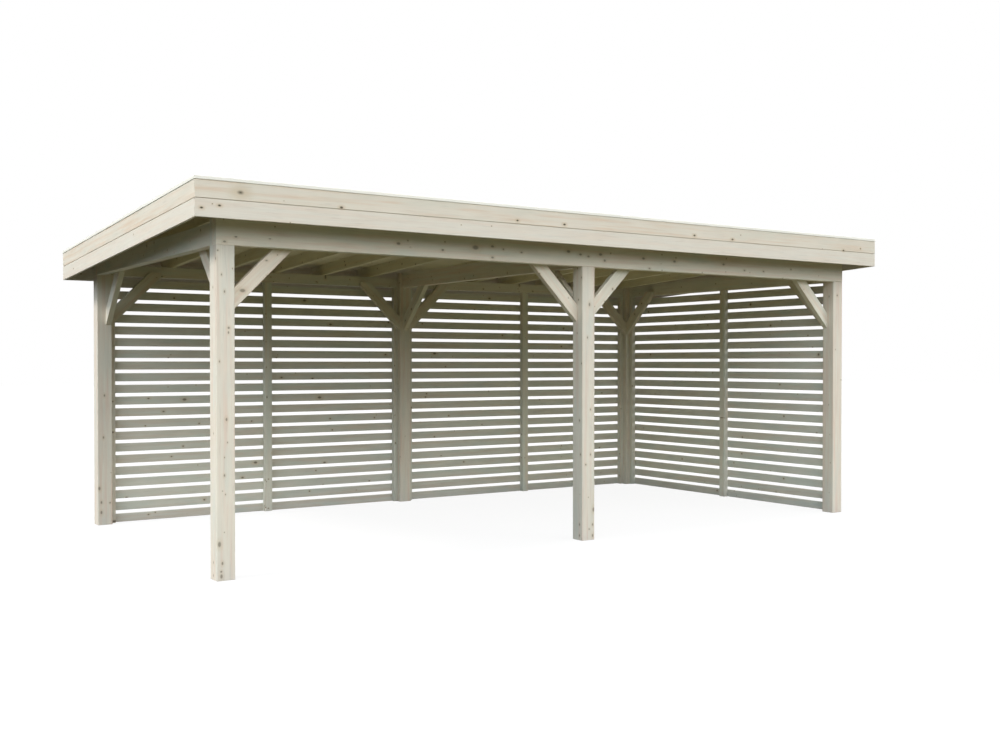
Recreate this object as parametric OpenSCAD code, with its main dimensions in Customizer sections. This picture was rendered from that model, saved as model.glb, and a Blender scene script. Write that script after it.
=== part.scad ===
// Open timber garden pavilion: six posts, a low single-pitch roof and three slatted wall bays.
// Millimetres. X runs along the open front, the front faces -Y, Z is up, the posts stand on Z = 0.

/* [Frame] */
// Width over the outer faces of the posts
frame_w = 5860; // [5200:10:6600]
// Depth over the outer faces of the posts
frame_d = 3010; // [2600:10:3600]
// Clear height under every beam
beam_z = 2095; // [1995:5:2295]
// Side of the square posts
post = 120; // [115:1:140]
// Flat of the eased long edges on posts and beams
ease = 4; // [2:1:8]

/* [Beams] */
// Thickness of the beams, which is also the depth of the post notches
beam_t = 70; // [60:1:70]
// Height of the front beam at its outer face
front_beam_h = 240; // [200:1:260]
// Height of the side beams and of the middle tie
side_beam_h = 145; // [120:1:150]

/* [Braces] */
// Thickness of the corner braces
brace_t = 45; // [35:1:45]
// Width of the corner braces, square to their length
brace_w = 95; // [80:1:110]
// Leg of a brace along the post and along the beam
brace_leg = 418; // [350:1:480]
// Lap of a brace behind the beam that it holds
brace_lap = 40; // [20:1:40]

/* [Roof] */
// Fall of the roof towards the back, millimetres in each metre
fall = 50; // [40:0.5:60]
// Overhang of the roof past the posts on all four sides
overhang = 200; // [120:5:260]
// Width of a rafter
rafter_w = 45; // [36:1:60]
// Height of a rafter, square to its length
rafter_h = 95; // [80:1:150]
// Spacing of the rafters
rafter_pitch = 480; // [400:5:520]
// Distance from the middle of the roof to the first rafter on each side
rafter_first = 357; // [300:1:400]
// Thickness of the roof boarding
deck_t = 17; // [15:1:22]
// Thickness of the roofing sheet
cover_t = 4; // [2:0.5:8]

/* [Roof edge] */
// Thickness of the fascia boards
fascia_t = 19; // [15:1:28]
// Height of the upper fascia board
upper_fascia_h = 109; // [100:1:115]
// Height of the lower fascia board with the joint above it
lower_fascia_h = 115; // [100:1:120]
// Open joint between the two fascia boards
fascia_joint = 3; // [1:0.5:6]
// Width of the capping strip on the roof edge
cap_w = 45; // [32:1:70]
// Thickness of the capping strip
cap_t = 22; // [12:1:25]
// Reach of the capping strip past the fascia
cap_proud = 4; // [0:1:10]

/* [Slatted walls] */
// Height of a slat
slat_h = 70; // [60:1:95]
// Thickness of a slat
slat_t = 18; // [15:1:22]
// Open gap between two slats
slat_gap = 30; // [15:1:50]
// Gap between the ground and the lowest slat
slat_foot = 2; // [2:1:20]
// Gap between the battens that carry the slats and the braces in front of them
batten_clear = 2; // [1:0.5:20]
// Width of the two battens beside the posts
edge_batten_w = 40; // [35:1:60]
// Width of the batten at the middle of a bay
mid_batten_w = 70; // [45:1:90]
// Shift of the side bay's middle batten towards the front
side_batten_shift = 20; // [0:1:60]

/* [Hidden] */
half_w = frame_w / 2;
half_d = frame_d / 2;
// Half sizes of the roof over the fascia
roof_x = half_w + overhang;
roof_y = half_d + overhang;
fall_rate = fall / 1000;
// Vertical measures of the pieces that lie on the slope
slope_len = sqrt(1 + fall_rate * fall_rate);
rafter_v = rafter_h * slope_len;
deck_v = deck_t * slope_len;
cap_v = cap_t * slope_len;
cover_v = cover_t * slope_len;
// Inner leg of a brace, along the post
brace_in = brace_leg - brace_w * sqrt(2);
// Rafters on each half of the roof
rafter_count = floor((half_w - post - rafter_w / 2 - rafter_first) / rafter_pitch) + 1;
slat_pitch = slat_h + slat_gap;
// Depth of the battens, nearly flush with the beams' inner faces
batten_t = beam_t - slat_t - batten_clear;
slat_count = floor((beam_z - slat_foot + slat_gap) / slat_pitch);
// Clear lengths between the posts of a back bay and of a side bay
back_bay = half_w - 1.5 * post;
side_bay = frame_d - 2 * post;
// A length past everything, for cuts
far = 3 * frame_w;

POST_WOOD = [0.83, 0.79, 0.72];
BEAM_WOOD = [0.79, 0.77, 0.71];
BRACE_WOOD = [0.85, 0.82, 0.75];
FASCIA_WOOD = [0.86, 0.83, 0.76];
SLAT_WOOD = [0.70, 0.68, 0.61];
ROOF_WOOD = [0.60, 0.56, 0.42];
SHEET = [0.30, 0.30, 0.30];

// Height of the rafters' underside and of the roof boarding's top at a depth y
function under_z(y) = beam_z + front_beam_h - fall_rate * (y + half_d);
function edge_z(y) = under_z(y) + rafter_v + deck_v;

// Draws a profile of (Y, Z) points as a bar along X
module along_x(length) {
    rotate([90, 0, 90]) linear_extrude(length, center = true) children();
}

// Rectangle with eased corners, its lower left corner at the origin
module eased_rect(w, h) {
    polygon([
        [ease, 0], [w - ease, 0], [w, ease], [w, h - ease],
        [w - ease, h], [ease, h], [0, h - ease], [0, ease]
    ]);
}

// Post notched on its outer side for a beam; the tongue behind the beam reaches up to top_z
module notched_post(top_z) {
    color(POST_WOOD) difference() {
        linear_extrude(top_z) translate([-post / 2, -post / 2]) eased_rect(post, post);
        translate([-post, -post / 2 - post, beam_z]) cube([2 * post, post + beam_t, far]);
    }
}

module front_post(x) {
    translate([x, -half_d + post / 2, 0]) notched_post(under_z(-half_d + post));
}

module back_post(x) {
    translate([x, half_d - post / 2, 0]) rotate(180) notched_post(beam_z + side_beam_h);
}

// Beam under the rafters: its top is bevelled to their slope
module rafter_beam(y) {
    color(BEAM_WOOD) along_x(frame_w) polygon([
        [y, beam_z + ease], [y + ease, beam_z],
        [y + beam_t - ease, beam_z], [y + beam_t, beam_z + ease],
        [y + beam_t, under_z(y + beam_t)], [y, under_z(y)]
    ]);
}

// Level beam from a front post to a back post, its left face at x
module cross_beam(x) {
    color(BEAM_WOOD) translate([x, side_bay / 2, beam_z]) rotate([90, 0, 0])
        linear_extrude(side_bay) eased_rect(beam_t, side_beam_h);
}

// Brace at 45 degrees: its foot bears on a post face at X = 0, its head laps behind the beam
module brace(lap) {
    color(BRACE_WOOD) translate([0, brace_t, beam_z]) rotate([90, 0, 0]) linear_extrude(brace_t) polygon([
        [0, -brace_leg], [brace_leg, 0], [brace_leg, lap], [brace_in + lap, lap], [0, -brace_in]
    ]);
}

// Brace behind the front beam, from the post face at x towards side (1 right, -1 left)
module front_brace(x, side) {
    translate([x, -half_d + beam_t, 0]) scale_x(side) brace(brace_lap);
}

module back_brace(x, side) {
    mirror([0, 1, 0]) front_brace(x, side);
}

// Mirrors a piece in X where side is negative
module scale_x(side) {
    if (side < 0) mirror([1, 0, 0]) children();
    else children();
}

// Brace behind a side beam; x_side picks the left or right beam, y_side the front or back post
module side_brace(x_side, y_side) {
    scale_x(-x_side) mirror([0, y_side > 0 ? 1 : 0, 0])
        translate([-half_w + beam_t, -half_d + post, 0]) mirror([1, -1, 0]) brace(brace_lap);
}

// Brace under the middle of the tie, at the front or back post
module tie_brace(y_side) {
    mirror([0, y_side > 0 ? 1 : 0, 0])
        translate([-brace_t / 2, -half_d + post, 0]) mirror([1, -1, 0]) brace(0);
}

// Rafters of one half of the roof, with plumb ends against the fascia
module rafters(side) {
    y_end = roof_y - fascia_t;
    color(ROOF_WOOD) for (i = [0 : rafter_count - 1])
        translate([side * (rafter_first + i * rafter_pitch), 0, 0]) along_x(rafter_w) polygon([
            [-y_end, under_z(-y_end)], [y_end, under_z(y_end)],
            [y_end, under_z(y_end) + rafter_v], [-y_end, under_z(-y_end) + rafter_v]
        ]);
}

// Sloping slab whose underside lies rise above the boarding's top
module roof_layer(x_end, y_end, rise, thick) {
    along_x(2 * x_end) polygon([
        [-y_end, edge_z(-y_end) + rise], [y_end, edge_z(y_end) + rise],
        [y_end, edge_z(y_end) + rise + thick], [-y_end, edge_z(-y_end) + rise + thick]
    ]);
}

module roof_boarding() {
    color(ROOF_WOOD) roof_layer(roof_x - fascia_t, roof_y - fascia_t, -deck_v, deck_v);
}

module roofing_sheet() {
    inset = cap_w - cap_proud;
    color(SHEET) roof_layer(roof_x - inset, roof_y - inset, 0, cover_v);
}

// Plan of a strip along the front edge of a roof with these half sizes, mitred at both ends
module front_strip(x_end, y_end, w) {
    linear_extrude(far) polygon([
        [-x_end, -y_end], [x_end, -y_end], [x_end - w, -y_end + w], [-x_end + w, -y_end + w]
    ]);
}

// Plan of a strip along the left edge, mitred at both ends
module left_strip(x_end, y_end, w) {
    linear_extrude(far) polygon([
        [-x_end, -y_end], [-x_end + w, -y_end + w], [-x_end + w, y_end - w], [-x_end, y_end]
    ]);
}

// Plan of a mitred strip along one roof edge: 0 front, 1 back, 2 left, 3 right
module edge_strip(edge, x_end, y_end, w) {
    if (edge == 0) front_strip(x_end, y_end, w);
    if (edge == 1) mirror([0, 1, 0]) front_strip(x_end, y_end, w);
    if (edge == 2) left_strip(x_end, y_end, w);
    if (edge == 3) mirror([1, 0, 0]) left_strip(x_end, y_end, w);
}

// Fascia board of one edge: row 0 is the upper board, row 1 the lower one
module fascia(edge, row) {
    drop = upper_fascia_h + row * lower_fascia_h;
    height = row == 0 ? upper_fascia_h : lower_fascia_h - fascia_joint;
    color(FASCIA_WOOD) intersection() {
        edge_strip(edge, roof_x, roof_y, fascia_t);
        roof_layer(roof_x, roof_y, -drop, height);
    }
}

// Capping strip of one edge, lying on the fascia and the boarding
module capping(edge) {
    x_end = roof_x + cap_proud;
    y_end = roof_y + cap_proud;
    color(FASCIA_WOOD) intersection() {
        edge_strip(edge, x_end, y_end, cap_w);
        roof_layer(x_end, y_end, 0, cap_v);
    }
}

// Slatted bay seen from inside: X from left to right, Y outwards with the posts' outer face at 0.
// The left edge of its middle batten lies shift to the right of its middle.
module slat_wall(bay, shift) {
    color(SLAT_WOOD) union() {
        for (k = [0 : slat_count - 1])
            translate([-bay / 2, -slat_t, slat_foot + k * slat_pitch]) cube([bay, slat_t, slat_h]);
        for (b = [[-bay / 2, edge_batten_w], [shift, mid_batten_w], [bay / 2 - edge_batten_w, edge_batten_w]])
            translate([b[0], -slat_t - batten_t, slat_foot]) cube([b[1], batten_t, beam_z - slat_foot]);
    }
}

module back_wall(side) {
    translate([side * (post + back_bay) / 2, half_d, 0]) slat_wall(back_bay, 0);
}

module right_wall() {
    translate([half_w, 0, 0]) rotate(-90) slat_wall(side_bay, side_batten_shift);
}

corner_x = half_w - post / 2;

front_post(-corner_x);  // front_left_post
front_post(0);  // front_middle_post
front_post(corner_x);  // front_right_post
back_post(-corner_x);  // back_left_post
back_post(0);  // back_middle_post
back_post(corner_x);  // back_right_post
rafter_beam(-half_d);  // front_beam
rafter_beam(half_d - beam_t);  // back_beam
cross_beam(-half_w);  // left_beam
cross_beam(half_w - beam_t);  // right_beam
cross_beam(-beam_t / 2);  // middle_tie
front_brace(-half_w + post, 1);  // front_brace_1
front_brace(-post / 2, -1);  // front_brace_2
front_brace(post / 2, 1);  // front_brace_3
front_brace(half_w - post, -1);  // front_brace_4
back_brace(-half_w + post, 1);  // back_brace_1
back_brace(-post / 2, -1);  // back_brace_2
back_brace(post / 2, 1);  // back_brace_3
back_brace(half_w - post, -1);  // back_brace_4
side_brace(-1, -1);  // left_brace_front
side_brace(-1, 1);  // left_brace_back
side_brace(1, -1);  // right_brace_front
side_brace(1, 1);  // right_brace_back
tie_brace(-1);  // tie_brace_front
tie_brace(1);  // tie_brace_back
rafters(-1);  // left_rafters
rafters(1);  // right_rafters
roof_boarding();
roofing_sheet();
fascia(0, 0);  // front_fascia_upper
fascia(0, 1);  // front_fascia_lower
fascia(1, 0);  // back_fascia_upper
fascia(1, 1);  // back_fascia_lower
fascia(2, 0);  // left_fascia_upper
fascia(2, 1);  // left_fascia_lower
fascia(3, 0);  // right_fascia_upper
fascia(3, 1);  // right_fascia_lower
capping(0);  // front_capping
capping(1);  // back_capping
capping(2);  // left_capping
capping(3);  // right_capping
back_wall(-1);  // back_left_wall
back_wall(1);  // back_right_wall
right_wall();
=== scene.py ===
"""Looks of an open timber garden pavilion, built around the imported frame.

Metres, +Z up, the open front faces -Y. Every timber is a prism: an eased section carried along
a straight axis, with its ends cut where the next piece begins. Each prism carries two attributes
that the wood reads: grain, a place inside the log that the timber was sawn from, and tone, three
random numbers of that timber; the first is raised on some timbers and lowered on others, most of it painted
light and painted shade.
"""

import math

import bpy
import numpy as np
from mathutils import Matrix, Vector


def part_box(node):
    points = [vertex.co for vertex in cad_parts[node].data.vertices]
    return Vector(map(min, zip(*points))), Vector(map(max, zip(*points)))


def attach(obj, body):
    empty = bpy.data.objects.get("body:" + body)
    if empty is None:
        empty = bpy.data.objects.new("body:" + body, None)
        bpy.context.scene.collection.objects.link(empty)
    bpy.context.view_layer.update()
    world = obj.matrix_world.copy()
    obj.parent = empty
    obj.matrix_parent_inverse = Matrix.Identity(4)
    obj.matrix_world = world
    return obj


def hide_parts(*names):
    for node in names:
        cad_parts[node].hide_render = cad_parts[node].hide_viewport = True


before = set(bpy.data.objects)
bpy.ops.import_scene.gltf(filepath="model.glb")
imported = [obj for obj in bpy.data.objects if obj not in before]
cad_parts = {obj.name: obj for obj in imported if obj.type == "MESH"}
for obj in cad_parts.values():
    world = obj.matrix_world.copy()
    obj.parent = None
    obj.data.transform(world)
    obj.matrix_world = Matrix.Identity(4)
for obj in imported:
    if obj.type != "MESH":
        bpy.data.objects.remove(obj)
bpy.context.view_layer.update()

# Sizes of the frame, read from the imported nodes


def corners(node):
    """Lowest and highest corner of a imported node."""
    low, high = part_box(node)
    return np.array(low), np.array(high)


post_low, post_high = corners("front_left_post")
POST = post_high[0] - post_low[0]
HALF_W = -post_low[0]
HALF_D = -post_low[1]
beam_low, beam_high = corners("front_beam")
BEAM_Z = beam_low[2]
BEAM_T = beam_high[1] - beam_low[1]
side_low, side_high = corners("left_beam")
SIDE_BEAM_H = side_high[2] - side_low[2]
fascia_low, fascia_high = corners("front_fascia_upper")
ROOF_X = fascia_high[0]
ROOF_Y = -fascia_low[1]
FASCIA_T = fascia_high[1] - fascia_low[1]
ROOF_TOP = fascia_high[2]
brace_low, brace_high = corners("front_brace_1")
BRACE_LEG = brace_high[0] - brace_low[0]
BRACE_T = brace_high[1] - brace_low[1]
BRACE_LAP = brace_high[2] - BEAM_Z
cap_low, cap_high = corners("front_capping")
CAP_W = cap_high[1] - cap_low[1]
CAP_PROUD = cap_high[0] - ROOF_X
SLAT_FOOT = corners("back_left_wall")[0][2]

# Sizes that the boxes of the nodes don't show

FALL = 0.05
BRACE_W = 0.095
RAFTER_W = 0.045
RAFTER_H = 0.095
RAFTER_PITCH = 0.48
RAFTER_FIRST = 0.357
RAFTER_COUNT = 6
DECK_T = 0.017
DECK_BOARD = 0.096
UPPER_FASCIA_H = 0.109
LOWER_FASCIA_H = 0.115
FASCIA_JOINT = 0.004
TONGUE_T = 0.007
CAP_T = 0.022
SLAT_T = 0.018
SLAT_H = 0.070
SLAT_PITCH = 0.100
SLAT_COUNT = 21
BATTEN_T = 0.050
EDGE_BATTEN_W = 0.040
MID_BATTEN_W = 0.070
SIDE_BATTEN_SHIFT = 0.020
FELT_T = 0.003
FELT_ROWS = 4
FELT_LAP = 0.08
NOTCH_STEP = 0.0002

# Radius of the eased edges

POST_ARRIS = 0.005
BEAM_ARRIS = 0.004
BOARD_ARRIS = 0.003
FASCIA_ARRIS = 0.002
FELT_ARRIS = 0.0008
TONGUE_ARRIS = 0.0002

# Timbers that are made paler or darker than chance makes them, most of them as painted light and painted
# shade: 1 is the whole range of chance

BATTEN_PALER = 2.0
# The front braces are painted paler: painted light on braces that the beam and the fascia shade
FRONT_BRACE_PAINTED_LIGHT = 2.0
# The front beam is painted paler: painted light on a beam that lies in the fascia's shade
FRONT_BEAM_PAINTED_LIGHT = 2.6
# The left braces are painted paler: painted light on braces in the shade under the roof
LEFT_BRACE_PAINTED_LIGHT = 1.5
# The back beam and the back braces are painted darker: painted shade deep under the roof
BACK_FRAME_PAINTED_SHADE = -1.5

# Where a timber lay in its log: one that is flatter than FLAT_SHAPE to 1 is sawn beside the pith, the others
# round it. The pith's wander is a share of the section, and the other two are metres.

LOG_LENGTH = 60
PITH_WANDER = 0.2
FLAT_SHAPE = 1.5
BESIDE_PITH = (0.05, 0.12)

X, Y, Z = np.eye(3)
chance = np.random.default_rng(71)


def edge_z(y):
    """Height of the roof boarding's top at a depth y: the roof falls evenly to the back."""
    return ROOF_TOP - FALL * (y + ROOF_Y)


# Timbers


def eased_levels(height, arris, breaks=()):
    """Heights t up a section and how far its sides draw in there: a quarter round at both ends."""
    turn = 1 - math.sqrt(0.5)
    low = [0, turn * arris, arris]
    inset_low = [arris, turn * arris, 0]
    t = np.array(low + list(breaks) + [height - v for v in reversed(low)])
    inset = np.array(inset_low + [0] * len(breaks) + inset_low[::-1])
    return t, inset


def shell_quads(ring, rows, count, inside_out):
    """Faces of equal shells, each of so many rows of ring points.

    A band joins each row to the next, and strips across the ring close the first and the last row.
    """
    this = np.arange(ring)
    after = (this + 1) % ring
    band = np.stack([this, ring + this, ring + after, after], 1)
    pair = np.arange(ring // 2 - 1)
    cap = np.stack([pair, ring - 1 - pair, ring - 2 - pair, pair + 1], 1)
    last = rows - 1
    quads = np.concatenate([band + row * ring for row in range(last)] + [cap + last * ring, cap[:, ::-1]])
    if inside_out:
        quads = quads[:, ::-1]
    shift = np.arange(count) * rows * ring
    return (quads + shift[:, None, None]).reshape(-1, 4)


def prism(corner, along, across, up, arris, mitre=(0, 0), breaks=(), start=None, end=None, taper=0,
          paler=0):
    """Timbers of one section, as arrays: point = corner + a along + b across + t up.

    The section is an eased rectangle of levels t, sawn beside the pith if flat or round it if
    square. At each end it is cut where start(t) and end(t) say, less mitre times b, and drawn in
    a little for an eased end. taper drops the top of the section by that share of b, paler adds
    to the first tone, which on some timbers is painted light and on others painted shade. Returns vertices,
    quads, grain and tone of all timbers.
    """
    corner, along, across, up = np.broadcast_arrays(*(np.atleast_2d(v) for v in (corner, along, across, up)))
    count = len(corner)
    sizes = [np.linalg.norm(v, axis=1) for v in (along, across, up)]
    length, width, height = sizes[0], sizes[1][0], sizes[2][0]
    t, inset = eased_levels(height, arris, breaks)
    ring_t = np.concatenate([t, t[::-1]])
    ring_b = np.concatenate([inset, width - inset[::-1]])
    draw = arris / 4
    end_b = np.clip(ring_b, draw, width - draw)
    end_t = np.clip(ring_t, draw, height - draw)
    first = (start(ring_t) if start else 0) + mitre[0] * ring_b
    last = (end(ring_t) if end else 0) - mitre[1] * ring_b
    cuts = np.stack([first, first + draw, last - draw, last])
    a = cuts[None] + np.array([0, 0, 1, 1])[None, :, None] * length[:, None, None]
    b = np.broadcast_to(np.stack([end_b, ring_b, ring_b, end_b]), a.shape)
    flat_t = np.broadcast_to(np.stack([end_t, ring_t, ring_t, end_t]), a.shape)
    risen = flat_t * (1 - taper * b / height)
    unit = [v / size[:, None] for v, size in zip((along, across, up), sizes)]
    place = corner[:, None, None] + sum(
        way[..., None] * v[:, None, None] for way, v in zip((a, b, risen), unit)
    )
    inside_out = np.dot(np.cross(across[0], up[0]), along[0]) < 0
    quads = shell_quads(len(ring_t), len(cuts), count, inside_out)
    pith = [chance.uniform(-PITH_WANDER, PITH_WANDER, count) * size for size in (width, height)]
    if max(width, height) > FLAT_SHAPE * min(width, height):
        pith[int(height < width)] += chance.choice((-1, 1), count) * chance.uniform(*BESIDE_PITH, count)
    shift = [chance.uniform(0, LOG_LENGTH, count), pith[0] - width / 2, pith[1] - height / 2]
    grain = np.stack([way + far[:, None, None] for way, far in zip((a, b, flat_t), shift)], -1)
    # The first tone is raised or lowered by paler: painted light on some timbers, painted shade on others
    tone = chance.uniform(0, 1, (count, 3)) + (paler, 0, 0)
    tone = np.broadcast_to(tone[:, None, None], grain.shape)
    return place.reshape(-1, 3), quads, grain.reshape(-1, 3), tone.reshape(-1, 3)


def joined(parts):
    """Several prisms as one set of arrays."""
    offsets = np.cumsum([0] + [len(part[0]) for part in parts[:-1]])
    quads = np.concatenate([part[1] + offset for part, offset in zip(parts, offsets)])
    places, grain, tone = (np.concatenate([part[i] for part in parts]) for i in (0, 2, 3))
    return places, quads, grain, tone


def mesh_of(name, places, quads, **vectors):
    """Mesh of quads with vector attributes on its points."""
    mesh = bpy.data.meshes.new(name)
    mesh.vertices.add(len(places))
    mesh.vertices.foreach_set("co", places.ravel())
    mesh.loops.add(quads.size)
    mesh.loops.foreach_set("vertex_index", quads.ravel())
    mesh.polygons.add(len(quads))
    mesh.polygons.foreach_set("loop_start", np.arange(len(quads)) * 4)
    mesh.update(calc_edges=True)
    mesh.shade_flat()
    for key, values in vectors.items():
        mesh.attributes.new(key, "FLOAT_VECTOR", "POINT").data.foreach_set("vector", values.ravel())
    return mesh


def piece(name, mesh, material, node=None):
    """Object of a mesh that rides on the frame and, where node is given, stands for that node."""
    thing = bpy.data.objects.new(name, mesh)
    bpy.context.scene.collection.objects.link(thing)
    mesh.materials.append(material)
    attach(thing, "root")
    if node:
        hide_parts(node)


def timber(node, material, slot, *parts):
    """Piece made of prisms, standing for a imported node."""
    places, quads, grain, tone = joined(parts)
    piece(node + "_timber", mesh_of(node, places, quads, grain=grain, tone=tone), material, node)


# Shaders


class Socket:
    """An output of a node; sums and products of it add Math nodes. One with no output starts a tree."""

    def __init__(self, tree, socket=None):
        self.tree = tree
        self.socket = socket

    def node(self, kind, settings=None, inputs=None, out=0):
        """Adds a node, sets it, then fills its sockets with values or links."""
        made = self.tree.nodes.new(kind)
        for key, value in (settings or {}).items():
            setattr(made, key, value)
        for key, value in (inputs or {}).items():
            if isinstance(value, Socket):
                value.feed(made.inputs[key])
            else:
                made.inputs[key].default_value = value
        return Socket(self.tree, made.outputs[out])

    def feed(self, target):
        """Links this output to a socket of another node."""
        self.tree.links.new(self.socket, target)

    def other(self, out):
        """Another output of the same node."""
        return Socket(self.tree, self.socket.node.outputs[out])

    def math(self, operation, *values):
        """A Math node on numbers or sockets."""
        return self.node("ShaderNodeMath", {"operation": operation}, dict(enumerate(values)))

    def __add__(self, v):
        return self.math("ADD", self, v)

    def __sub__(self, v):
        return self.math("SUBTRACT", self, v)

    def __rsub__(self, v):
        return self.math("SUBTRACT", v, self)

    def __mul__(self, v):
        return self.math("MULTIPLY", self, v)

    def __truediv__(self, v):
        return self.math("DIVIDE", self, v)

    def __pow__(self, v):
        return self.math("POWER", self, v)

    __radd__ = __add__
    __rmul__ = __mul__

    def step(self, low, high):
        """0 below low, 1 above high, smooth between; high below low turns it round."""
        settings = {"interpolation_type": "SMOOTHSTEP"}
        ends = (low, high, 0.0, 1.0) if low < high else (high, low, 1.0, 0.0)
        return self.node("ShaderNodeMapRange", settings, dict(enumerate((self, *ends))))

    def parts(self):
        """The three numbers of this vector or colour."""
        split = self.node("ShaderNodeSeparateXYZ", inputs={0: self})
        return [split.other(i) for i in range(3)]

    def vector(self, operation, *values, out=0):
        """A Vector Math node on vectors or sockets."""
        return self.node("ShaderNodeVectorMath", {"operation": operation}, dict(enumerate(values)), out)

    def mix(self, first, second, factor, blend="MIX"):
        """The first colour with the second over it."""
        settings = {"data_type": "RGBA", "blend_type": blend}
        return self.node("ShaderNodeMix", settings, {0: factor, 6: first, 7: second}, 2)

    def noise(self, scale, detail=2.0, out=0):
        """Noise on this vector stretched by scale, along, across and through the timber."""
        inputs = {"Vector": self.vector("MULTIPLY", self, scale), "Scale": 1.0, "Detail": detail}
        return self.node("ShaderNodeTexNoise", None, inputs, out)

    def attribute(self, name):
        """A vector attribute of the mesh."""
        return self.node("ShaderNodeAttribute", {"attribute_name": name}, out="Vector")

    def place(self):
        """The place on the piece, in metres."""
        return self.node("ShaderNodeTexCoord", out="Object")


def rgb(*values):
    """Colour written as 0 to 255 in sRGB, as the linear values that sockets take."""
    v = np.array(values) / 255
    linear = np.where(v <= 0.04045, v / 12.92, ((v + 0.055) / 1.055) ** 2.4)
    return (*linear.tolist(), 1.0)


def blank(name):
    """New material, its shader and a socket to start from."""
    material = bpy.data.materials.new(name)
    material.use_nodes = True
    tree = material.node_tree
    return material, tree.nodes["Principled BSDF"], Socket(tree)


# Wood: branches in a metre of log and in a radian round it, how far a placed knot is drawn out along the
# grain, growth rings in a metre, and the size that stands for no knot
BRANCH_ROWS = 4.0
BRANCH_RING = 1.0
DRAWN_OUT = 0.4
RINGS_A_METRE = 190
NO_KNOT = 1e-5
# A knot's dark core and the halo round it end and begin at these distances, in knot sizes
KNOT_CORE = (1.4, 0.5)
KNOT_HALO = (3.6, 0.8)
KNOT_TINT = rgb(90, 82, 68)
HALO_TINT = rgb(200, 180, 150)
# How strongly each of these shades the wood
TIMBER_SHADE = 0.04
LATE_SHADE = 0.04
FIBRE_SHADE = 0.08
THREAD_SHADE = 0.09
CLOUD_SHADE = 0.10
# Depth of the grain in metres, and the wood's gloss
WOOD_RELIEF = 0.0008
WOOD_GLOSS = 0.15


def softwood(name, pale, warm, grey, figure, knots, marks=(), grain_way=X):
    """Planed spruce with a thin pale glaze.

    Growth rings are the distance from the pith, wandering along the log. Knots are branches that
    run out from the pith, so a face cuts them as dots or spikes, and the rings bend round them.
    figure is the strength of the warm and grey streaks. knots is the share of branches that show,
    their least and greatest size and their strength. marks are the places, sizes and softness of
    knots that stand out in the photo, grain_way the way that they are drawn out.
    """
    shown, least, greatest, depth = knots
    material, shader, begin = blank(name)
    grain = begin.attribute("grain")
    light, lean, _ = begin.attribute("tone").parts()
    bend = grain.noise((0.7, 5.0, 5.0), 2.0, out=1)
    along, across, through = grain.vector("MULTIPLY_ADD", bend, (0.0, 0.03, 0.03), grain).parts()
    ring = (across * across + through * through) ** 0.5
    # Knots: the nearest branch by its place along the log and its angle round the pith, in knot sizes
    row = along * BRANCH_ROWS
    turned = through.math("ARCTAN2", through, across) * BRANCH_RING
    spot = grain.node("ShaderNodeCombineXYZ", None, {0: row, 1: turned})
    seed = grain.node("ShaderNodeTexVoronoi", {"voronoi_dimensions": "2D"}, {"Vector": spot, "Scale": 1.0})
    seed_row, seed_turned, _ = seed.other("Position").parts()
    beside = (row - seed_row) / BRANCH_ROWS
    round_pith = (turned - seed_turned) / BRANCH_RING * ring
    pick, size, _ = seed.other("Color").parts()
    full_size = least + (greatest - least) * size * size * size
    knot_size = full_size * pick.step(1 - shown, 1.01 - shown) + NO_KNOT
    reach = (beside * beside * 0.7 + round_pith * round_pith) ** 0.5 / knot_size
    narrow = 1 - DRAWN_OUT * grain_way
    here = begin.vector("MULTIPLY", begin.place(), tuple(narrow))
    for place, mark_size, soft in marks:
        apart = here.vector("DISTANCE", here, tuple(place * narrow), out=1)
        reach = reach.math("MINIMUM", reach, apart / mark_size + soft)
    core = reach.step(*KNOT_CORE)
    halo = reach.step(*KNOT_HALO)
    growth = ring * RINGS_A_METRE + halo * 1.2
    late = growth.math("FRACT", growth) ** 3.0
    fibre = grain.noise((9.0, 600.0, 600.0), 2.0)
    thread = grain.noise((7.0, 110.0, 110.0), 3.0).step(0.56, 0.76)
    streak = grain.noise((1.7, 34.0, 34.0), 3.0)
    patch = grain.noise((2.2, 12.0, 12.0), 2.0)
    cloud = grain.noise((5.0, 20.0, 20.0), 2.0)
    tint = begin.mix(pale, warm, (streak + lean * 0.1 - 0.05).step(0.40, 0.72) * figure)
    tint = begin.mix(tint, grey, (patch - lean * 0.1 + 0.05).step(0.45, 0.75) * figure)
    shade = 1.0 + TIMBER_SHADE * light - LATE_SHADE * late - FIBRE_SHADE * (fibre - 0.5)
    shade = shade - THREAD_SHADE * thread + CLOUD_SHADE * (cloud - 0.5)
    grey_scale = begin.node("ShaderNodeCombineColor", None, {0: shade, 1: shade, 2: shade})
    tint = begin.mix(tint, grey_scale, 1.0, "MULTIPLY")
    tint = begin.mix(tint, HALO_TINT, halo * depth * 0.55)
    tint = begin.mix(tint, KNOT_TINT, core * depth)
    tint.feed(shader.inputs["Base Color"])
    rough = 0.62 + 0.12 * fibre - 0.1 * core
    rough.feed(shader.inputs["Roughness"])
    relief = late * 0.35 + fibre * 0.5 - core * 0.6
    bump = begin.node("ShaderNodeBump", None, {"Strength": 0.35, "Distance": WOOD_RELIEF, "Height": relief})
    bump.feed(shader.inputs["Normal"])
    shader.inputs["Specular IOR Level"].default_value = WOOD_GLOSS
    return material


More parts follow.
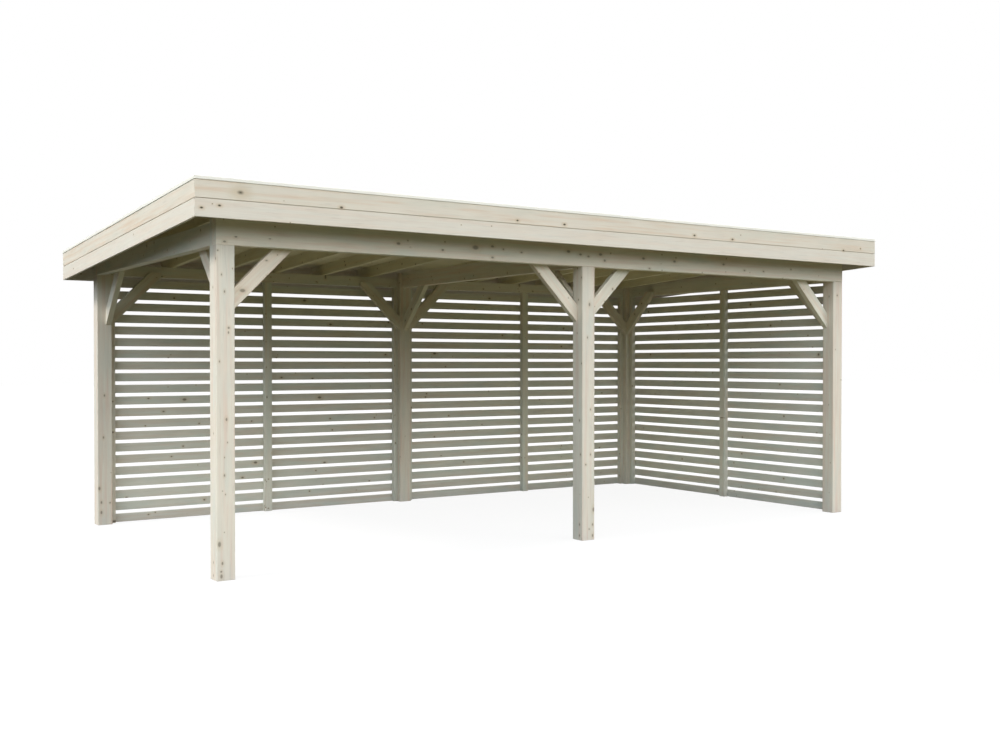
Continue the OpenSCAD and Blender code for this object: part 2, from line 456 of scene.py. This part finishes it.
def felt(name):
    """Mineral roofing felt: dark grains of slate with paler ones among them."""
    material, shader, begin = blank(name)
    grain = begin.attribute("grain")
    speck = begin.node("ShaderNodeTexVoronoi", None, {"Vector": grain, "Scale": 420.0})
    grit = speck.other("Color").parts()[0]
    cloud = grain.noise((1.3, 1.3, 1.3), 3.0)
    tint = begin.mix(rgb(52, 53, 54), rgb(104, 104, 102), grit.step(0.55, 1.0))
    tint = begin.mix(tint, rgb(72, 72, 70), cloud.step(0.4, 0.7) * 0.5)
    tint.feed(shader.inputs["Base Color"])
    bump = begin.node("ShaderNodeBump", None, {"Strength": 0.6, "Distance": 0.001, "Height": speck})
    bump.feed(shader.inputs["Normal"])
    shader.inputs["Roughness"].default_value = 0.9
    return material


def zinc(name):
    """Zinc-plated screw heads, slightly uneven."""
    material, shader, begin = blank(name)
    dull = begin.place().noise((90.0, 90.0, 90.0), 2.0)
    tint = begin.mix(rgb(150, 148, 140), rgb(108, 104, 96), dull.step(0.4, 0.7))
    tint.feed(shader.inputs["Base Color"])
    rough = 0.35 + 0.2 * dull
    rough.feed(shader.inputs["Roughness"])
    shader.inputs["Metallic"].default_value = 0.9
    return material


# Camera, and the knots that stand out in the photo: picture column and row, the plane of the surface, size.
# A plane is the number of the axis that stands on it, and its place on that axis.

CAMERA_PLACE = np.array((-2.3835 - HALF_W, -6.7457 - HALF_D, 1.3617))
CAMERA_TURN = math.radians(33.70)
CAMERA_DIP = math.radians(0.633)
CAMERA_LENS = 40.243
CAMERA_SENSOR = 36.0
PICTURE = (1000, 750)


def in_space(column, row, axis, value):
    """Point where the sight line of a picture point meets the plane on which that axis has that value."""
    scale = CAMERA_SENSOR / CAMERA_LENS / PICTURE[0]
    right = (column + 0.5 - PICTURE[0] / 2) * scale
    down = (row + 0.5 - PICTURE[1] / 2) * scale
    ahead = math.cos(CAMERA_DIP) - down * math.sin(CAMERA_DIP)
    rise = -math.sin(CAMERA_DIP) - down * math.cos(CAMERA_DIP)
    sight = np.array((ahead * math.sin(CAMERA_TURN) + right * math.cos(CAMERA_TURN),
                      ahead * math.cos(CAMERA_TURN) - right * math.sin(CAMERA_TURN), rise))
    return CAMERA_PLACE + sight * (value - CAMERA_PLACE[axis]) / sight[axis]


FRONT_OF_POSTS = (1, -HALF_D)
FRONT_OF_FASCIA = (1, -ROOF_Y)
LEFT_POST_SIDE = (0, -HALF_W)
MIDDLE_POST_SIDE = (0, -POST / 2)
BRACE_FACE = (1, -HALF_D + BEAM_T)
FRONT_OF_BACK_POSTS = (1, HALF_D - POST)
BACK_SLATS = (1, HALF_D - SLAT_T)
RIGHT_SLATS = (0, HALF_W - SLAT_T)
FRAME_KNOTS = {
    "left post, under the beam": (224, 291, FRONT_OF_POSTS, 0.005),
    "left post, top": (221, 274, FRONT_OF_POSTS, 0.004),
    "left post, top right": (232, 268, FRONT_OF_POSTS, 0.003),
    "left post, upper": (228, 332, FRONT_OF_POSTS, 0.005),
    "left post, upper left": (219, 361, FRONT_OF_POSTS, 0.004),
    "left post, middle": (226, 419, FRONT_OF_POSTS, 0.006),
    "left post, lower middle": (227, 442, FRONT_OF_POSTS, 0.003),
    "left post, low left": (224, 457, FRONT_OF_POSTS, 0.003),
    "left post, below": (225, 494, FRONT_OF_POSTS, 0.003),
    "left post, lower": (224, 475, FRONT_OF_POSTS, 0.005),
    "left post, big one": (219, 544, FRONT_OF_POSTS, 0.010),
    "left post, foot upper": (222, 563, FRONT_OF_POSTS, 0.006),
    "left post, foot": (221, 576, FRONT_OF_POSTS, 0.008),
    "left post side, top": (215, 258, LEFT_POST_SIDE, 0.006),
    "left post side, middle": (213, 433, LEFT_POST_SIDE, 0.004),
    "left post side, foot upper": (213, 562, LEFT_POST_SIDE, 0.005),
    "left post side, foot": (213, 575, LEFT_POST_SIDE, 0.005),
    "middle post, at the brace": (589, 304, FRONT_OF_POSTS, 0.008),
    "middle post, under the brace": (587, 337, FRONT_OF_POSTS, 0.005),
    "middle post, upper": (590, 409, FRONT_OF_POSTS, 0.005),
    "middle post, middle": (590, 454, FRONT_OF_POSTS, 0.005),
    "middle post, big one": (593, 509, FRONT_OF_POSTS, 0.010),
    "middle post, foot upper": (592, 524, FRONT_OF_POSTS, 0.006),
    "middle post, foot": (592, 535, FRONT_OF_POSTS, 0.007),
    "middle post side, top": (581, 277, MIDDLE_POST_SIDE, 0.005),
    "middle post side, under the brace": (581, 363, MIDDLE_POST_SIDE, 0.004),
    "middle post side, upper": (579, 420, MIDDLE_POST_SIDE, 0.006),
    "middle post side, middle": (580, 454, MIDDLE_POST_SIDE, 0.005),
    "middle post side, foot upper": (579, 524, MIDDLE_POST_SIDE, 0.006),
    "middle post side, foot": (579, 535, MIDDLE_POST_SIDE, 0.006),
    "back left post, middle": (104, 395, FRONT_OF_BACK_POSTS, 0.006),
    "back left post, lower": (103, 437, FRONT_OF_BACK_POSTS, 0.006),
    "back left post, low": (99, 488, FRONT_OF_BACK_POSTS, 0.009),
    "back left post, foot upper": (101, 502, FRONT_OF_BACK_POSTS, 0.007),
    "back left post, foot": (101, 512, FRONT_OF_BACK_POSTS, 0.008),
    "front beam, left end": (224, 241, FRONT_OF_POSTS, 0.006),
    "front beam, left": (398, 243, FRONT_OF_POSTS, 0.009),
    "front beam, middle": (475, 247, FRONT_OF_POSTS, 0.015),
    "front beam, middle right": (492, 246, FRONT_OF_POSTS, 0.008),
    "front beam, low": (492, 257, FRONT_OF_POSTS, 0.007),
    "front beam, before the post": (521, 252, FRONT_OF_POSTS, 0.006),
    "front beam, left over the post": (568, 251, FRONT_OF_POSTS, 0.010),
    "front beam, over the post": (580, 254, FRONT_OF_POSTS, 0.008),
    "front beam, over the post too": (588, 256, FRONT_OF_POSTS, 0.007),
    "front beam, right over the post": (600, 254, FRONT_OF_POSTS, 0.010),
    "front beam, right and low": (649, 268, FRONT_OF_POSTS, 0.006),
    "front beam, far right and low": (744, 270, FRONT_OF_POSTS, 0.006),
    "front beam, right": (643, 258, FRONT_OF_POSTS, 0.009),
    "front beam, further right": (674, 261, FRONT_OF_POSTS, 0.009),
    "front beam, near the end": (723, 264, FRONT_OF_POSTS, 0.008),
    "front beam, end": (763, 271, FRONT_OF_POSTS, 0.006),
    "left brace": (242, 290, BRACE_FACE, 0.011),
    "left brace, upper": (266, 260, BRACE_FACE, 0.005),
}
SLAT_KNOTS = {
    "left bay, big one": (184, 399, BACK_SLATS, 0.011),
    "left bay, beside it": (148, 398, BACK_SLATS, 0.006),
    "left bay, under it": (163, 411, BACK_SLATS, 0.006),
    "left bay, low": (171, 456, BACK_SLATS, 0.005),
    "left bay, lower corner": (126, 497, BACK_SLATS, 0.006),
    "left bay, lowest slat": (148, 514, BACK_SLATS, 0.005),
    "left bay, behind the post": (255, 462, BACK_SLATS, 0.010),
    "left bay, below that": (242, 477, BACK_SLATS, 0.007),
    "left bay, right of the batten": (319, 397, BACK_SLATS, 0.011),
    "left bay, right and low": (324, 462, BACK_SLATS, 0.008),
    "left bay, right and high": (330, 324, BACK_SLATS, 0.009),
    "left bay, highest": (304, 300, BACK_SLATS, 0.010),
    "left bay, far right": (385, 354, BACK_SLATS, 0.007),
    "left bay, double": (281, 377, BACK_SLATS, 0.007),
    "left bay, double right": (312, 378, BACK_SLATS, 0.007),
    "right bay, upper": (434, 353, BACK_SLATS, 0.010),
    "right bay, below that": (445, 366, BACK_SLATS, 0.005),
    "right bay, highest": (489, 298, BACK_SLATS, 0.008),
    "side bay, high": (750, 304, RIGHT_SLATS, 0.011),
    "side bay, upper": (770, 325, RIGHT_SLATS, 0.010),
    "side bay, at the post": (818, 354, RIGHT_SLATS, 0.011),
    "side bay, back": (650, 354, RIGHT_SLATS, 0.008),
}
FASCIA_KNOTS = {
    "upper board, left": (341, 207, FRONT_OF_FASCIA, 0.007),
    "upper board, middle": (517, 220, FRONT_OF_FASCIA, 0.006),
    "upper board, middle right": (564, 224, FRONT_OF_FASCIA, 0.007),
    "upper board, right": (694, 235, FRONT_OF_FASCIA, 0.007),
    "upper board, further right": (732, 239, FRONT_OF_FASCIA, 0.007),
    "upper board, end": (843, 250, FRONT_OF_FASCIA, 0.007),
    "lower board, corner": (201, 207, FRONT_OF_FASCIA, 0.006),
    "lower board, left": (219, 205, FRONT_OF_FASCIA, 0.006),
}
SOFT = 0.6
SOFT_KNOTS = {
    "upper board, big one": (240, 192, FRONT_OF_FASCIA, 0.023),
}


def placed(knots, soft=0.0):
    """Places, sizes and softness of named knots."""
    return [(in_space(column, row, *plane), size, soft) for column, row, plane, size in knots.values()]


frame_marks = placed(FRAME_KNOTS)
slat_marks = placed(SLAT_KNOTS)
fascia_marks = placed(FASCIA_KNOTS) + placed(SOFT_KNOTS, SOFT)
post_wood = softwood(
    "post_wood", rgb(225, 217, 204), rgb(222, 203, 188), rgb(216, 213, 202), 0.9,
    (0.22, 0.0025, 0.007, 0.60), frame_marks, Z)
frame_wood = softwood(
    "frame_wood", rgb(225, 218, 204), rgb(222, 205, 189), rgb(214, 213, 201), 0.9,
    (0.60, 0.0030, 0.009, 0.60), frame_marks)
upper_fascia_wood = softwood(
    "upper_fascia_wood", rgb(223, 214, 200), rgb(217, 196, 174), rgb(218, 212, 198), 0.9,
    (0.08, 0.0025, 0.007, 1.0), fascia_marks)
lower_fascia_wood = softwood(
    "lower_fascia_wood", rgb(222, 215, 203), rgb(221, 207, 192), rgb(220, 215, 204), 0.7,
    (0.08, 0.0025, 0.007, 1.0), fascia_marks)
cap_wood = softwood(
    "cap_wood", rgb(242, 239, 231), rgb(240, 233, 222), rgb(234, 232, 224), 0.4, (0.05, 0.002, 0.004, 0.6))
slat_wood = softwood(
    "slat_wood", rgb(215, 212, 202), rgb(213, 202, 188), rgb(206, 209, 200), 0.9,
    (0.20, 0.0030, 0.008, 0.75), slat_marks)
roof_wood = softwood(
    "roof_wood", rgb(224, 216, 190), rgb(221, 206, 174), rgb(212, 207, 184), 0.6, (0.40, 0.0025, 0.008, 0.7))
roof_felt = felt("roof_felt")
screw_zinc = zinc("screw_zinc")

# Posts


def post_end(top):
    """Length of a notched post less top: the outer part stops under the beam, the tongue goes on."""
    return lambda t: np.where(t < BEAM_T + NOTCH_STEP / 2, BEAM_Z - top, 0.0)


NOTCH = (BEAM_T, BEAM_T + NOTCH_STEP)
for side, x in (("left", -HALF_W), ("middle", -POST / 2), ("right", HALF_W - POST)):
    for row, foot, turn in (("front", (x, -HALF_D, 0), 1), ("back", (x + POST, HALF_D, 0), -1)):
        node = f"{row}_{side}_post"
        top = corners(node)[1][2]
        timber(node, post_wood, "post_wood", prism(
            foot, top * Z, turn * POST * X, turn * POST * Y, POST_ARRIS, breaks=NOTCH, end=post_end(top)))

# Beams

# The front beam is painted paler, as painted light in the fascia's shade; the back beam darker, as painted
# shade under the roof
for node, paler in (("front_beam", FRONT_BEAM_PAINTED_LIGHT), ("back_beam", BACK_FRAME_PAINTED_SHADE)):
    low, high = corners(node)
    timber(node, frame_wood, "frame_wood", prism(
        low, 2 * HALF_W * X, BEAM_T * Y, (high[2] - low[2]) * Z, BEAM_ARRIS, taper=FALL, paler=paler))
for node in ("left_beam", "right_beam", "middle_tie"):
    low, high = corners(node)
    timber(node, frame_wood, "frame_wood", prism(
        low, (high[1] - low[1]) * Y, SIDE_BEAM_H * Z, BEAM_T * X, BEAM_ARRIS))

# Braces


def brace(node, foot, out, thick, lap, paler=0):
    """Brace at 45 degrees from a foot on a post face, leaning out; its head is cut level, its nose plumb."""
    along = (out + Z) * BRACE_LEG
    up = (Z - out) / math.sqrt(2) * BRACE_W
    nose = lap / math.sqrt(2)
    head = lap * math.sqrt(2)
    timber(node, frame_wood, "frame_wood", prism(
        np.array(foot) + (BEAM_Z - BRACE_LEG) * Z, along, thick, up, BOARD_ARRIS,
        breaks=(nose,) if lap else (), start=lambda t: t, end=lambda t: np.minimum(head - t, t),
        paler=paler))


BRACE_Y = HALF_D - BEAM_T - BRACE_T
INNER_X = HALF_W - POST
INNER_Y = HALF_D - POST
BRACE_X = HALF_W - BEAM_T - BRACE_T
# Front braces get painted light, back braces painted shade
for number, (x, out) in enumerate(((-INNER_X, X), (-POST / 2, -X), (POST / 2, X), (INNER_X, -X)), 1):
    brace(f"front_brace_{number}", (x, -BRACE_Y, 0), out, -BRACE_T * Y, BRACE_LAP, FRONT_BRACE_PAINTED_LIGHT)
    brace(f"back_brace_{number}", (x, BRACE_Y, 0), out, BRACE_T * Y, BRACE_LAP, BACK_FRAME_PAINTED_SHADE)
# Left braces get painted light
for end_name, y, out in (("front", -INNER_Y, Y), ("back", INNER_Y, -Y)):
    brace(f"left_brace_{end_name}", (-BRACE_X, y, 0), out, -BRACE_T * X, BRACE_LAP, LEFT_BRACE_PAINTED_LIGHT)
    brace(f"right_brace_{end_name}", (BRACE_X, y, 0), out, BRACE_T * X, BRACE_LAP)
    brace(f"tie_brace_{end_name}", (-BRACE_T / 2, y, 0), out, BRACE_T * X, 0)

# Rafters and roof boarding

SLOPE = Y - FALL * Z
STEEP = math.sqrt(1 + FALL * FALL)
DECK_V = DECK_T * STEEP
RAFTER_V = RAFTER_H * STEEP
deck_x = ROOF_X - FASCIA_T
deck_y = ROOF_Y - FASCIA_T
for side, sign in (("left", -1), ("right", 1)):
    centres = sign * (RAFTER_FIRST + np.arange(RAFTER_COUNT) * RAFTER_PITCH)
    foot = np.stack([centres - RAFTER_W / 2, np.full(RAFTER_COUNT, -deck_y),
                     np.full(RAFTER_COUNT, edge_z(-deck_y) - DECK_V - RAFTER_V)], 1)
    timber(f"{side}_rafters", roof_wood, "roof_wood", prism(
        foot, 2 * deck_y * SLOPE, RAFTER_W * X, RAFTER_V * Z, BOARD_ARRIS))

board_count = round(2 * deck_y / DECK_BOARD)
board_w = 2 * deck_y / board_count
board_y = -deck_y + np.arange(board_count) * board_w
board_foot = np.stack([np.full(board_count, -deck_x), board_y, edge_z(board_y) - DECK_V], 1)
timber("roof_boarding", roof_wood, "roof_wood", prism(
    board_foot, 2 * deck_x * X, board_w * SLOPE, DECK_V * Z, BOARD_ARRIS))

# Roofing felt in lapped rows, each row's lower edge lying on the row below

felt_x = ROOF_X + CAP_PROUD - CAP_W
felt_y = ROOF_Y + CAP_PROUD - CAP_W
row_w = (2 * felt_y + (FELT_ROWS - 1) * FELT_LAP) / FELT_ROWS
row_y = -felt_y + np.arange(FELT_ROWS) * (row_w - FELT_LAP)
row_foot = np.stack([np.full(FELT_ROWS, -felt_x), row_y, edge_z(row_y)], 1)
row_lift = np.where(np.arange(FELT_ROWS) < FELT_ROWS - 1, FELT_T, 0)
row_across = row_w * SLOPE + row_lift[:, None] * Z
timber("roofing_sheet", roof_felt, "roofing", prism(
    row_foot, 2 * felt_x * X, row_across, FELT_T * Z, FELT_ARRIS))

# Fascia boards and capping strips, mitred at the corners

MITRE = (1, 1)
EDGES = {
    "front": ((-1, -1), X, Y),
    "back": ((1, 1), -X, -Y),
    "left": ((-1, -1), Y, X),
    "right": ((1, -1), Y, -X),
}
FASCIA_ROWS = {
    "upper": (UPPER_FASCIA_H, UPPER_FASCIA_H),
    "lower": (UPPER_FASCIA_H + LOWER_FASCIA_H, LOWER_FASCIA_H - FASCIA_JOINT),
}
FASCIA_WOODS = {"upper": upper_fascia_wood, "lower": lower_fascia_wood}


def on_roof(v):
    """A level direction laid on the fall of the roof."""
    return v - FALL * (v @ Y) * Z


for edge, (sign, run, inward) in EDGES.items():
    foot = np.array((sign[0] * ROOF_X, sign[1] * ROOF_Y, edge_z(sign[1] * ROOF_Y)))
    span = 2 * (ROOF_X * abs(run @ X) + ROOF_Y * abs(run @ Y))
    for row, (drop, height) in FASCIA_ROWS.items():
        boards = [prism(foot - drop * Z, span * on_roof(run), FASCIA_T * inward, height * Z,
                        FASCIA_ARRIS, mitre=MITRE)]
        if row == "lower":
            # A tongue closes the joint behind its face
            tongue = TONGUE_T * (inward + on_roof(run)) + (height - drop) * Z
            boards.append(prism(foot + tongue, (span - 2 * TONGUE_T) * on_roof(run), TONGUE_T * inward,
                                FASCIA_JOINT * Z, TONGUE_ARRIS, mitre=MITRE))
        timber(f"{edge}_fascia_{row}", FASCIA_WOODS[row], "fascia_wood", *boards)
    cap_x = sign[0] * (ROOF_X + CAP_PROUD)
    cap_y = sign[1] * (ROOF_Y + CAP_PROUD)
    timber(f"{edge}_capping", cap_wood, "fascia_wood", prism(
        (cap_x, cap_y, edge_z(cap_y)), (span + 2 * CAP_PROUD) * on_roof(run), CAP_W * on_roof(inward),
        CAP_T * STEEP * Z, BOARD_ARRIS, mitre=MITRE))

# Slatted walls, screwed from outside

SCREW_ROWS = np.array((0.018, 0.052))
SCREW_SIDES = 12
# Radius and height of a countersunk head, from the pit for the driver to the shank
SCREW_RADIUS = np.array((0.0014, 0.0018, 0.0034, 0.0040, 0.0030))
SCREW_HEIGHT = np.array((-0.0012, 0.0002, 0.0004, 0.0001, -0.0015))


def screws(name, centres, run, out):
    """Screw heads: point = centre + radius (cos run + sin Z) + height out, by angle round the head."""
    angle = np.arange(SCREW_SIDES) * 2 * math.pi / SCREW_SIDES
    circle = np.cos(angle)[:, None] * run + np.sin(angle)[:, None] * Z
    head = SCREW_RADIUS[:, None, None] * circle + SCREW_HEIGHT[:, None, None] * out
    places = centres[:, None, None] + head
    inside_out = np.dot(np.cross(run, Z), out) < 0
    quads = shell_quads(SCREW_SIDES, len(SCREW_RADIUS), len(centres), inside_out)
    piece(name, mesh_of(name, places.reshape(-1, 3), quads), screw_zinc)


def slat_wall(node, left, run, out, shift=0):
    """Slats and battens of a bay: left is its left end on the posts' outer face seen from inside.

    The left edge of the middle batten lies shift to the right of the bay's middle.
    """
    low, high = corners(node)
    bay = abs((high - low) @ run)
    rise = (SLAT_FOOT + np.arange(SLAT_COUNT) * SLAT_PITCH)[:, None] * Z
    slats = prism(left - SLAT_T * out + rise, bay * run, SLAT_T * out, SLAT_H * Z, BOARD_ARRIS)
    battens = []
    middles = []
    batten_places = (
        (0, EDGE_BATTEN_W), (bay / 2 + shift, MID_BATTEN_W), (bay - EDGE_BATTEN_W, EDGE_BATTEN_W))
    for place, width in batten_places:
        foot = left + place * run - (SLAT_T + BATTEN_T) * out + SLAT_FOOT * Z
        battens.append(prism(foot, (BEAM_Z - SLAT_FOOT) * Z, width * run, BATTEN_T * out, BOARD_ARRIS,
                             paler=BATTEN_PALER))
        middles.append(place + width / 2)
    timber(node, slat_wood, "slat_wood", slats, *battens)
    rows = (rise[:, None] + SCREW_ROWS[:, None] * Z).reshape(-1, 3)
    centres = left + rows[:, None] + np.array(middles)[:, None] * run
    screws(node + "_screws", centres.reshape(-1, 3), run, out)


slat_wall("back_left_wall", np.array((-INNER_X, HALF_D, 0)), X, Y)
slat_wall("back_right_wall", np.array((POST / 2, HALF_D, 0)), X, Y)
slat_wall("right_wall", np.array((HALF_W, INNER_Y, 0)), -Y, X, SIDE_BATTEN_SHIFT)

# Floor, light and camera


def white_to_camera(begin):
    """1 for rays that the camera, a gloss or a glass sends, 0 for the rest."""
    path = begin.node("ShaderNodeLightPath", out="Is Camera Ray")
    seen = path.math("MAXIMUM", path, path.other("Is Glossy Ray"))
    return path.math("MAXIMUM", seen, path.other("Is Transmission Ray"))


FLOOR_HALF = 60.0
FLOOR_GLOW = 0.9
WHITE = rgb(255, 255, 255)
# The floor's dark colour, also painted shade in the inner front left zone
DARK_FLOOR = rgb(40, 38, 27)
# Painted light and shade on the floor, seen only by bounced rays: zones in X and Y with soft edges, and the
# colours that the floor sends back to the pavilion there. The zones under the roof are painted paler as
# light, the inner front left darker as shade
ZONE_EDGE = 0.4
PAINTED_FLOOR_LIGHT = {
    "left": ((-8.0, -HALF_W), (-3.0, 3.0), rgb(40, 45, 25)),
    "front": ((-8.0, 8.0), (-8.0, -HALF_D), rgb(100, 100, 75)),
    "inner_front_left": ((-HALF_W, 0.2), (-HALF_D, 0.2), DARK_FLOOR),
    "inner_front_right": ((-0.2, HALF_W), (-HALF_D, 0.2), rgb(165, 160, 125)),
    "inner_back_left": ((-HALF_W, 0.2), (-0.2, HALF_D), rgb(150, 145, 110)),
    "inner_back_middle": ((-0.2, 1.7), (-0.2, HALF_D), rgb(190, 185, 140)),
    "inner_back_right": ((1.3, HALF_W), (-0.2, HALF_D), rgb(250, 245, 190)),
}
FLOOR_CORNERS = ((-1, -1), (1, -1), (1, 1), (-1, 1))
floor_mesh = bpy.data.meshes.new("floor")
floor_mesh.from_pydata([(x * FLOOR_HALF, y * FLOOR_HALF, 0) for x, y in FLOOR_CORNERS], [], [(0, 1, 2, 3)])
floor = bpy.data.objects.new("floor", floor_mesh)
bpy.context.scene.collection.objects.link(floor)
floor_material, _, floor_begin = blank("floor_white_with_painted_light")
seen = white_to_camera(floor_begin)
floor_x, floor_y, _ = floor_begin.place().parts()
# Painted light and shade on the floor, zone by zone, for bounced rays only
floor_tint = DARK_FLOOR
for (x_low, x_high), (y_low, y_high), tint in PAINTED_FLOOR_LIGHT.values():
    across = floor_x.step(x_low, x_low + ZONE_EDGE) * floor_x.step(x_high, x_high - ZONE_EDGE)
    inward = floor_y.step(y_low, y_low + ZONE_EDGE) * floor_y.step(y_high, y_high - ZONE_EDGE)
    floor_tint = seen.mix(floor_tint, tint, across * inward)
floor_tint = seen.mix(floor_tint, WHITE, seen)
matt = seen.node("ShaderNodeBsdfDiffuse", None, {"Color": floor_tint})
glow = seen.node("ShaderNodeEmission", None, {"Color": WHITE, "Strength": 1.0})
both = seen.node("ShaderNodeMixShader", None, {0: seen * FLOOR_GLOW, 1: matt, 2: glow})
both.feed(floor_begin.tree.nodes["Material Output"].inputs["Surface"])
floor_mesh.materials.append(floor_material)

# The sky is a sum of soft lobes that fade to dark at the horizon, below the height HAZE of a unit vector.
# A lobe has its turn from the front towards the right and its height in degrees, its focus and its light.
HAZE = 0.14
SKY = {
    "left": (-75, 26, 8.0, (1.55, 1.85, 2.05)),
    "left_front_low": (-42, 12, 30.0, (0.95, 1.05, 1.10)),
    "left_front": (-42, 32, 14.0, (1.90, 1.95, 1.95)),
    "front_low": (-9, 10, 30.0, (0.60, 0.65, 0.65)),
    "front": (-9, 30, 14.0, (0.20, 0.20, 0.20)),
    "right_front_low": (31, 10, 30.0, (1.30, 1.35, 1.35)),
    "right_front": (31, 30, 14.0, (3.35, 3.35, 3.35)),
    "right": (65, 25, 14.0, (1.35, 1.35, 1.35)),
    "back": (180, 15, 5.0, (1.45, 1.50, 1.50)),
    "top": (0, 90, 2.0, (1.05, 1.10, 1.15)),
}


def toward(turn, height):
    """Unit vector towards a place in the sky."""
    turn = math.radians(turn)
    height = math.radians(height)
    return (math.sin(turn) * math.cos(height), -math.cos(turn) * math.cos(height), math.sin(height))


world = bpy.data.worlds.new("sky")
bpy.context.scene.world = world
world.use_nodes = True
sky_begin = Socket(world.node_tree)
direction = sky_begin.node("ShaderNodeTexCoord", out="Generated")
clear = direction.parts()[2].step(0.0, HAZE)
light = None
for turn, height, focus, tint in SKY.values():
    near = direction.vector("DOT_PRODUCT", direction, toward(turn, height), out=1)
    share = near.math("MAXIMUM", near, 0.0) ** focus * clear
    grey = direction.node("ShaderNodeCombineXYZ", None, {0: share, 1: share, 2: share})
    lit = direction.vector("MULTIPLY", grey, tint)
    light = lit if light is None else direction.vector("ADD", light, lit)
sky_seen = light.mix(light, WHITE, white_to_camera(sky_begin))
sky_seen.feed(world.node_tree.nodes["Background"].inputs["Color"])

SUN_TURN = -90
SUN_HEIGHT = 47
sun = bpy.data.lights.new("sun", "SUN")
sun.energy = 2.15
sun.color = (1.0, 0.96, 0.90)
sun.angle = math.radians(12)
sun_object = bpy.data.objects.new("sun", sun)
bpy.context.scene.collection.objects.link(sun_object)
sun_object.rotation_euler = (math.radians(90 - SUN_HEIGHT), 0, math.radians(SUN_TURN))

camera = bpy.data.cameras.new("camera")
camera.lens = CAMERA_LENS
camera.sensor_width = CAMERA_SENSOR
camera_object = bpy.data.objects.new("camera", camera)
bpy.context.scene.collection.objects.link(camera_object)
camera_object.location = CAMERA_PLACE
camera_object.rotation_euler = (math.pi / 2 - CAMERA_DIP, 0, -CAMERA_TURN)
bpy.context.scene.camera = camera_object

bpy.context.scene.view_settings.view_transform = "Standard"
